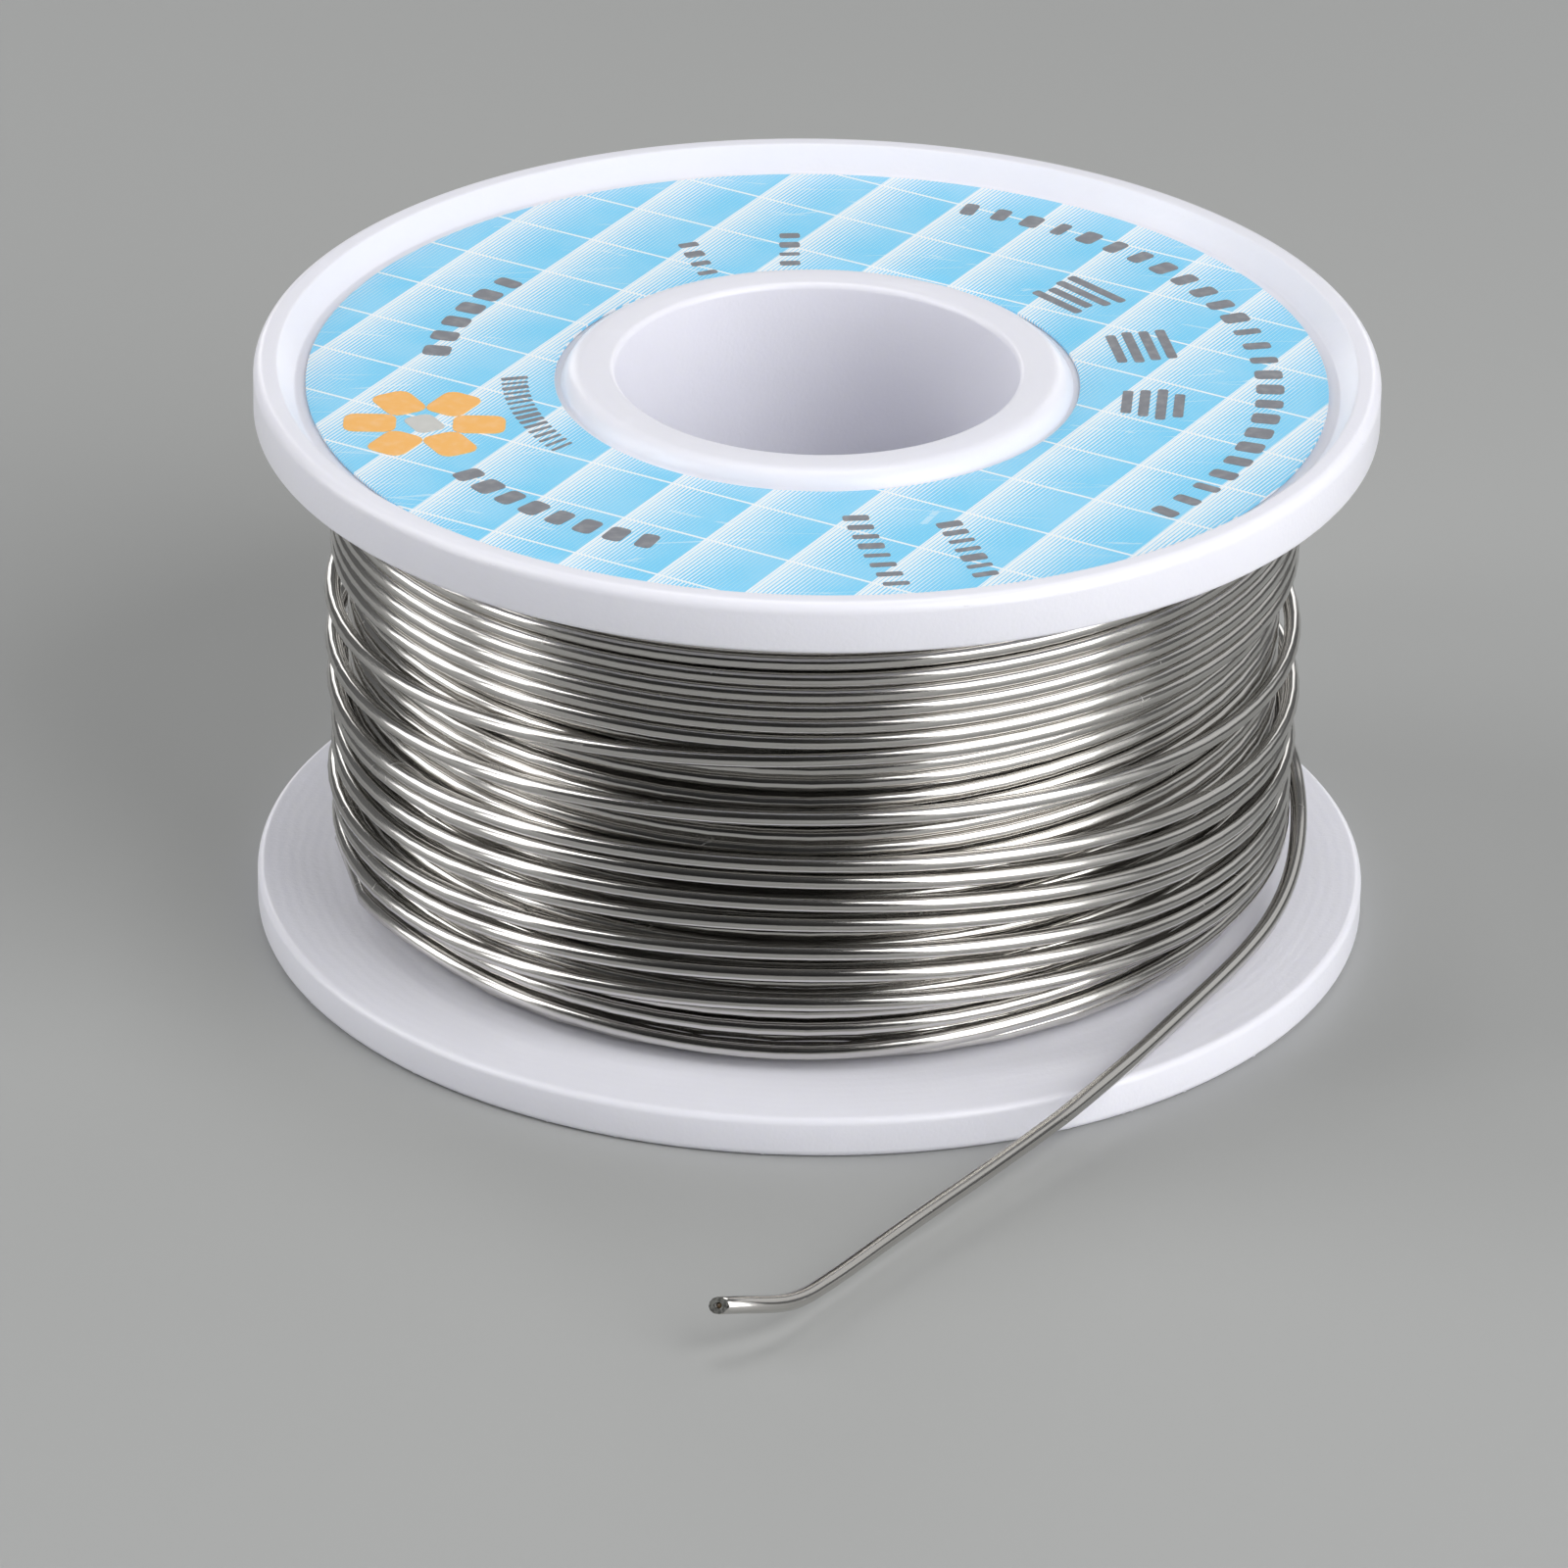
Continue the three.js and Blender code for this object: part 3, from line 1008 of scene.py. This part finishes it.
def grown(name, tree, **inputs):
    """The plain mesh that a tree makes with these inputs."""
    carrier = bpy.data.objects.new(name + "_carrier", bpy.data.meshes.new(name + "_carrier"))
    bpy.context.scene.collection.objects.link(carrier)
    modifier = carrier.modifiers.new(name, "NODES")
    modifier.node_group = tree
    identifiers = {
        item.name: item.identifier for item in tree.interface.items_tree
        if item.item_type == "SOCKET" and item.in_out == "INPUT"
    }
    for key, value in inputs.items():
        modifier[identifiers[key.replace("_", " ")]] = value
    graph = bpy.context.evaluated_depsgraph_get()
    mesh = bpy.data.meshes.new_from_object(carrier.evaluated_get(graph))
    mesh.name = name
    empty = carrier.data
    bpy.data.objects.remove(carrier)
    bpy.data.meshes.remove(empty)
    return mesh


def polar_point(nodes, radius, angle, height):
    """A vector at that radius, azimuth and height."""
    x = nodes.math("MULTIPLY", radius, nodes.math("COSINE", angle))
    y = nodes.math("MULTIPLY", radius, nodes.math("SINE", angle))
    return nodes.add("ShaderNodeCombineXYZ", {"X": x, "Y": y, "Z": height}).outputs[0]


def printed_row_tree():
    """A row of plain printed blocks whose place runs evenly from one polar point to another."""
    nodes, given, result = group_tree(
        "GeometryNodeTree", "Printed Row",
        {
            "Geometry": "Geometry", "Count": 8, "Start Radius": 20.0 * MM, "End Radius": 20.0 * MM,
            "Start Angle": 0.0, "End Angle": 1.0, "Height": 0.0, "Block Depth": 1.4 * MM,
            "Block Width": 0.8 * MM, "Width Spread": 0.3, "Block Turn": 0.0, "Corner": 0.1 * MM,
            "Thickness": 0.02 * MM, "Seed": 1, "Material": "Material",
        },
        {"Geometry": "Geometry"},
    )
    outline = nodes.add("GeometryNodeCurvePrimitiveQuadrilateral", {
        "Width": given["Block Depth"], "Height": given["Block Width"],
    })
    rounded = nodes.add("GeometryNodeFilletCurve", {
        "Curve": outline.outputs[0], "Radius": given["Corner"], "Count": CORNER_STEPS, "Limit Radius": True,
    }, mode="POLY")
    sheet = nodes.add("GeometryNodeFillCurve", {"Curve": rounded.outputs[0]}, mode="NGONS")
    raised = nodes.add("GeometryNodeExtrudeMesh", {
        "Mesh": sheet.outputs[0], "Individual": False, "Offset Scale": given["Thickness"],
    })
    under = nodes.add("GeometryNodeFlipFaces", {"Mesh": sheet.outputs[0]})
    both = nodes.add("GeometryNodeJoinGeometry")
    nodes.tree.links.new(raised.outputs["Mesh"], both.inputs[0])
    nodes.tree.links.new(under.outputs[0], both.inputs[0])
    block = nodes.add("GeometryNodeMergeByDistance", {
        "Geometry": both.outputs[0], "Distance": WELD_DISTANCE,
    })

    points = nodes.add("GeometryNodePoints", {"Count": given["Count"]})
    index = nodes.add("GeometryNodeInputIndex").outputs[0]
    gaps = nodes.math("MAXIMUM", nodes.math("SUBTRACT", given["Count"], 1.0), 1.0)
    share = nodes.math("DIVIDE", index, gaps)
    radius = nodes.ramp(share, 0.0, 1.0, given["Start Radius"], given["End Radius"], smooth=False)
    angle = nodes.ramp(share, 0.0, 1.0, given["Start Angle"], given["End Angle"], smooth=False)
    placed = nodes.add("GeometryNodeSetPosition", {
        "Geometry": points.outputs[0], "Position": polar_point(nodes, radius, angle, given["Height"]),
    })
    turn = nodes.math("ADD", angle, given["Block Turn"])
    rotation = nodes.add("ShaderNodeCombineXYZ", {"Z": turn}).outputs[0]
    narrowest = nodes.math("SUBTRACT", 1.0, given["Width Spread"])
    widest = nodes.math("ADD", 1.0, given["Width Spread"])
    width = nodes.random("FLOAT", narrowest, widest, given["Seed"])
    scale = nodes.add("ShaderNodeCombineXYZ", {"X": 1.0, "Y": width, "Z": 1.0}).outputs[0]
    row = nodes.add("GeometryNodeInstanceOnPoints", {
        "Points": placed.outputs[0], "Instance": block.outputs[0], "Rotation": rotation, "Scale": scale,
    })
    end_tree(nodes, row.outputs[0], given["Material"], result)
    return nodes.tree


def flash_tree():
    """Tiny crumbs of moulding flash, scattered round an edge."""
    nodes, given, result = group_tree(
        "GeometryNodeTree", "Moulding Flash",
        {
            "Geometry": "Geometry", "Count": 30, "Radius": 27.0 * MM, "Height": 0.0,
            "Crumb Size": 0.1 * MM, "Seed": 1, "Material": "Material",
        },
        {"Geometry": "Geometry"},
    )
    points = nodes.add("GeometryNodePoints", {"Count": given["Count"]})
    angle = nodes.random("FLOAT", 0.0, 2 * math.pi, given["Seed"])
    placed = nodes.add("GeometryNodeSetPosition", {
        "Geometry": points.outputs[0],
        "Position": polar_point(nodes, given["Radius"], angle, given["Height"]),
    })
    crumb = nodes.add("GeometryNodeMeshIcoSphere", {"Radius": given["Crumb Size"], "Subdivisions": 1})
    seed = nodes.math("ADD", given["Seed"], CRUMB_SIZE_SEED_STEP)
    size = nodes.random("FLOAT_VECTOR", *CRUMB_SIZES, seed)
    rotation = nodes.add("ShaderNodeCombineXYZ", {"Z": angle}).outputs[0]
    crumbs = nodes.add("GeometryNodeInstanceOnPoints", {
        "Points": placed.outputs[0], "Instance": crumb.outputs["Mesh"], "Rotation": rotation, "Scale": size,
    })
    end_tree(nodes, crumbs.outputs[0], given["Material"], result)
    return nodes.tree


def joined(name, meshes):
    """One mesh out of several, with their materials kept."""
    made = bmesh.new()
    materials = []
    for mesh in meshes:
        before = len(made.faces)
        made.from_mesh(mesh)
        made.faces.ensure_lookup_table()
        material = next(found for found in mesh.materials if found)
        if material not in materials:
            materials.append(material)
        for face in made.faces[before:]:
            face.material_index = materials.index(material)
        bpy.data.meshes.remove(mesh)
    whole = bpy.data.meshes.new(name)
    made.to_mesh(whole)
    made.free()
    for material in materials:
        whole.materials.append(material)
    return whole


# --- Operators ------------------------------------------------------------------------------------


class CameraOperator(bpy.types.Operator):
    """Places the camera in front of the spool, a little above it"""

    bl_idname = "solder_spool.camera"
    bl_label = "Camera"

    PAN = math.radians(0.14)
    TILT = math.radians(0.572)
    ROLL = math.radians(0.922)
    SENSOR_WIDTH = 36.0
    CLIP_START = 0.01
    CLIP_END = 20.0

    def execute(self, context):
        stage = settings("stage")
        data = bpy.data.cameras.new("camera")
        data.lens = stage.lens
        data.sensor_width = self.SENSOR_WIDTH
        data.clip_start = self.CLIP_START
        data.clip_end = self.CLIP_END
        camera = bpy.data.objects.new("camera", data)
        context.scene.collection.objects.link(camera)
        back = Vector((0, -math.cos(stage.elevation), math.sin(stage.elevation)))
        aim = (-back).to_track_quat("-Z", "Y").to_matrix().to_4x4()
        aim = aim @ Matrix.Rotation(self.PAN, 4, "Y")
        aim = aim @ Matrix.Rotation(self.TILT, 4, "X")
        aim = aim @ Matrix.Rotation(self.ROLL, 4, "Z")
        camera.matrix_world = Matrix.Translation(back * stage.distance) @ aim
        context.scene.camera = camera
        return {"FINISHED"}


class WireOperator(bpy.types.Operator):
    """Winds the solder wire on the drum, layer by layer, and lays its free end over the lower rim"""

    bl_idname = "solder_spool.wire"
    bl_label = "Solder Wire"

    def execute(self, context):
        wire = settings("wire")
        centres, hidden = wire_path()
        core_radius = wire.core_radius / MM
        mesh = wire_mesh(centres, hidden, wire.diameter / MM / 2, core_radius)
        piece = link("solder_wire", mesh, drawn_solder(), nipped_solder())
        core = link("flux_core", core_mesh(centres, core_radius - CORE_CLEARANCE), flux_resin())
        finish_piece(piece, "solder", "solder_winding", "solder_free_end")
        finish_piece(core, "solder")
        return {"FINISHED"}


class ReelOperator(bpy.types.Operator):
    """Turns the moulded reel: drum, flanges, lips and collars in one piece"""

    bl_idname = "solder_spool.reel"
    bl_label = "Reel"

    SEGMENTS = 288

    def execute(self, context):
        mesh = turned("reel_moulding", reel_outline(), self.SEGMENTS)
        piece = link("reel_moulding", mesh, moulded_plastic())
        finish_piece(piece, "reel_plastic", "spool_body")
        return {"FINISHED"}


class FlashOperator(bpy.types.Operator):
    """Scatters crumbs of moulding flash along the reel's edges"""

    bl_idname = "solder_spool.flash"
    bl_label = "Moulding Flash"

    # How many, radius, height, size and seed, in millimetres.
    EDGES = (
        (26, 26.87, 0.13, 0.07, 3),
        (12, 12.06, 27.96, 0.05, 8),
        (10, 26.96, 28.43, 0.05, 11),
    )

    def execute(self, context):
        material = bpy.data.materials["moulded_plastic"]
        tree = flash_tree()
        meshes = []
        for count, radius, height, size, seed in self.EDGES:
            meshes.append(grown(
                "flash", tree, Count=count, Radius=radius * MM, Height=height * MM,
                Crumb_Size=size * MM, Seed=seed, Material=material,
            ))
        piece = link("moulding_flash", joined("moulding_flash", meshes))
        finish_piece(piece, "reel_plastic")
        return {"FINISHED"}


class LabelOperator(bpy.types.Operator):
    """Makes the printed paper ring in the upper recess"""

    bl_idname = "solder_spool.label"
    bl_label = "Label"

    SEGMENTS = 240
    RINGS = 8
    EDGE = 0.03
    EDGE_STEPS = 3

    def execute(self, context):
        label = settings("label")
        inner, outer = label.inner_radius / MM, label.outer_radius / MM
        under, over, edge = LABEL_LOW.z / MM, LABEL_HIGH.z / MM, self.EDGE
        shares = [step / self.RINGS for step in range(1, self.RINGS)]
        outline = [
            (inner, under),
            *((inner + (outer - inner) * share, under) for share in shares),
            (outer, under),
            *arc(outer - edge, over - edge, edge, 0, 90, self.EDGE_STEPS),
            *((outer - (outer - inner) * share, over) for share in shares),
            *arc(inner + edge, over - edge, edge, 90, 180, self.EDGE_STEPS),
        ]
        piece = link("paper_label", turned("paper_label", outline, self.SEGMENTS), printed_paper())
        finish_piece(piece, "label_print", "top_label")
        return {"FINISHED"}


class PrintOperator(bpy.types.Operator):
    """Prints plain grey blocks and one orange mark on the label"""

    bl_idname = "solder_spool.print"
    bl_label = "Printed Marks"

    THICKNESS = 0.02
    SINK = 0.005
    CORNER_SHARE = 0.28
    # Count, radii and azimuths at both ends, block depth, width and spread, block turn, seed.
    ROWS = (
        (26, 21.7, 21.7, -41, 70, 1.35, 0.85, 0.35, 0, 1),
        (4, 14.95, 17.45, -8, -8, 0.5, 3.0, 0.3, 4, 2),
        (4, 14.95, 17.45, 15.5, 15.5, 0.5, 3.0, 0.3, -5, 10),
        (4, 14.95, 17.45, 39, 39, 0.5, 3.0, 0.3, 3, 11),
        (6, 18.5, 18.5, 172, 145, 1.35, 0.95, 0.25, 0, 3),
        (16, 14.5, 14.5, 182, 214, 1.3, 0.26, 0.4, 12, 4),
        (8, 19.9, 19.9, 215, 247, 1.45, 0.95, 0.25, 0, 5),
        (8, 15.6, 22.75, -83, -80.4, 1.25, 0.5, 0.35, 90, 6),
        (7, 17.2, 22.7, -68.6, -69.6, 1.25, 0.5, 0.35, 90, 7),
        (4, 13.4, 16.8, 114, 112.5, 1.0, 0.5, 0.3, 90, 8),
        (4, 13.6, 16.9, 96, 95, 1.0, 0.5, 0.3, 90, 9),
    )
    # The orange mark is a ring of leaves round a pale block: their count, ring radius, depth and width,
    # and the block's depth, width and turn.
    LEAVES = (6, 2.6, 2.5, 2.0)
    BADGE = (1.9, 1.5, -60)
    MARK_CENTRE = (-18.6, -5.8)

    def execute(self, context):
        label = settings("label")
        tree = printed_row_tree()
        grey = printed_ink("grey_ink", label.ink)
        orange = printed_ink("orange_ink", label.orange)
        badge = printed_ink("badge_ink", label.badge)
        height = LABEL_HIGH.z - self.SINK * MM
        meshes = [self.row(tree, row, grey, height) for row in self.ROWS]
        meshes.extend(self.orange_mark(tree, orange, badge, height))
        piece = link("printed_marks", joined("printed_marks", meshes))
        finish_piece(piece, "label_print")
        return {"FINISHED"}

    def row(self, tree, row, material, height):
        """One row of blocks from its line of ROWS."""
        count, start_radius, end_radius, start, end, depth, width, spread, turn, seed = row
        return grown(
            "row", tree, Count=count, Start_Radius=start_radius * MM, End_Radius=end_radius * MM,
            Start_Angle=math.radians(start), End_Angle=math.radians(end), Height=height,
            Block_Depth=depth * MM, Block_Width=width * MM, Width_Spread=spread,
            Block_Turn=math.radians(turn), Corner=min(width, depth) * self.CORNER_SHARE * MM,
            Thickness=(self.THICKNESS + self.SINK) * MM, Seed=seed, Material=material,
        )

    def orange_mark(self, tree, orange, badge, height):
        count, radius, depth, width = self.LEAVES
        last = 360 - 360 / count
        ring_row = (count, radius, radius, 0, last, depth, width, 0, 0, 1)
        block_depth, block_width, turn = self.BADGE
        block_row = (1, 0, 0, 0, 0, block_depth, block_width, 0, turn, 1)
        leaves = self.row(tree, ring_row, orange, height)
        block = self.row(tree, block_row, badge, height)
        x, y = self.MARK_CENTRE
        for mesh in (leaves, block):
            mesh.transform(Matrix.Translation((x * MM, y * MM, 0)))
        return [leaves, block]


class StageOperator(bpy.types.Operator):
    """Sets the floor, the soft boxes and the dim surroundings"""

    bl_idname = "solder_spool.stage"
    bl_label = "Stage"

    # Name, azimuth, elevation, distance, width, height and power of each soft box.
    LIGHTS = (
        ("key_box", -43, 27, 0.55, 0.40, 0.70, 3.5),
        ("left_strip", -163, 26, 0.60, 0.12, 0.60, 1.0),
        ("left_box", 170, 28, 0.62, 0.24, 0.60, 1.3),
        ("key_edge", -16, 27, 0.55, 0.12, 0.70, 0.18),
        ("top_box", 90, 76, 0.70, 0.32, 0.32, 0.85),
        ("right_card", 28, 34, 0.80, 0.60, 0.50, 0.55),
        ("back_left", 113, 16, 0.80, 0.14, 0.40, 0.4),
        ("back_right", 70, 16, 0.80, 0.14, 0.40, 0.3),
    )
    AIM_HEIGHT = 0.014
    FLOOR_SEGMENTS = 96
    # The surroundings are darkest behind the camera: the Y where that starts and ends, and its share.
    SURROUND = 0.14
    SURROUND_COLOUR = (0.98, 0.99, 1.0, 1.0)
    SURROUND_Y = (-0.9, 0.3)
    SURROUND_BEHIND = 0.18

    def execute(self, context):
        self.add_floor()
        for light in self.LIGHTS:
            self.add_soft_box(*light)
        self.set_surroundings(context)
        context.scene.view_settings.view_transform = "Standard"
        return {"FINISHED"}

    def add_floor(self):
        radius = settings("stage").floor_radius
        made = bmesh.new()
        bmesh.ops.create_circle(made, cap_ends=True, radius=radius, segments=self.FLOOR_SEGMENTS)
        mesh = bpy.data.meshes.new("floor")
        made.to_mesh(mesh)
        made.free()
        link("floor", mesh, floor_paint())

    def add_soft_box(self, name, azimuth, elevation, distance, width, height, power):
        data = bpy.data.lights.new(name, "AREA")
        data.shape = "RECTANGLE"
        data.size = width
        data.size_y = height
        data.energy = power
        lamp = bpy.data.objects.new(name, data)
        bpy.context.scene.collection.objects.link(lamp)
        across, up = math.radians(azimuth), math.radians(elevation)
        away = Vector((
            math.cos(across) * math.cos(up),
            math.sin(across) * math.cos(up),
            math.sin(up),
        ))
        lamp.location = away * distance + Vector((0, 0, self.AIM_HEIGHT))
        lamp.rotation_euler = (-away).to_track_quat("-Z", "Y").to_euler()

    def set_surroundings(self, context):
        world = bpy.data.worlds.new("studio")
        world.use_nodes = True
        context.scene.world = world
        nodes = Nodes(world.node_tree)
        background = world.node_tree.nodes["Background"]
        direction = nodes.add("ShaderNodeTexCoord").outputs["Generated"]
        parts = nodes.add("ShaderNodeSeparateXYZ", {"Vector": direction}).outputs
        share = nodes.ramp(parts["Y"], *self.SURROUND_Y, self.SURROUND_BEHIND, 1.0)
        nodes.feed(background.inputs["Color"], self.SURROUND_COLOUR)
        nodes.feed(background.inputs["Strength"], nodes.math("MULTIPLY", share, self.SURROUND))


OPERATORS = (
    CameraOperator, WireOperator, ReelOperator, FlashOperator, LabelOperator, PrintOperator, StageOperator,
)


class SpoolPanel(bpy.types.Panel):
    """Lists the spool's pieces"""

    bl_idname = "VIEW3D_PT_solder_spool"
    bl_label = "Solder Wire Spool"
    bl_space_type = "VIEW_3D"
    bl_region_type = "UI"
    bl_category = "Solder Spool"

    def draw(self, context):
        for operator in OPERATORS:
            self.layout.operator(operator.bl_idname)
        for name, group in SETTINGS.items():
            box = self.layout.box()
            for key in group.__annotations__:
                box.prop(settings(name), key)


SETTINGS = {"reel": ReelSettings, "wire": WireSettings, "label": LabelSettings, "stage": StageSettings}
CLASSES = (*SETTINGS.values(), *OPERATORS, SpoolPanel)


def register():
    for cls in CLASSES:
        bpy.utils.register_class(cls)
    for name, group in SETTINGS.items():
        setattr(bpy.types.Scene, "spool_" + name, bpy.props.PointerProperty(type=group))


def unregister():
    for name in SETTINGS:
        delattr(bpy.types.Scene, "spool_" + name)
    for cls in reversed(CLASSES):
        bpy.utils.unregister_class(cls)


def main():
    register()
    bpy.ops.solder_spool.camera()
    bpy.ops.solder_spool.wire()
    bpy.ops.solder_spool.reel()
    bpy.ops.solder_spool.flash()
    bpy.ops.solder_spool.label()
    bpy.ops.solder_spool.print()
    bpy.ops.solder_spool.stage()


if __name__ == "__main__":
    main()
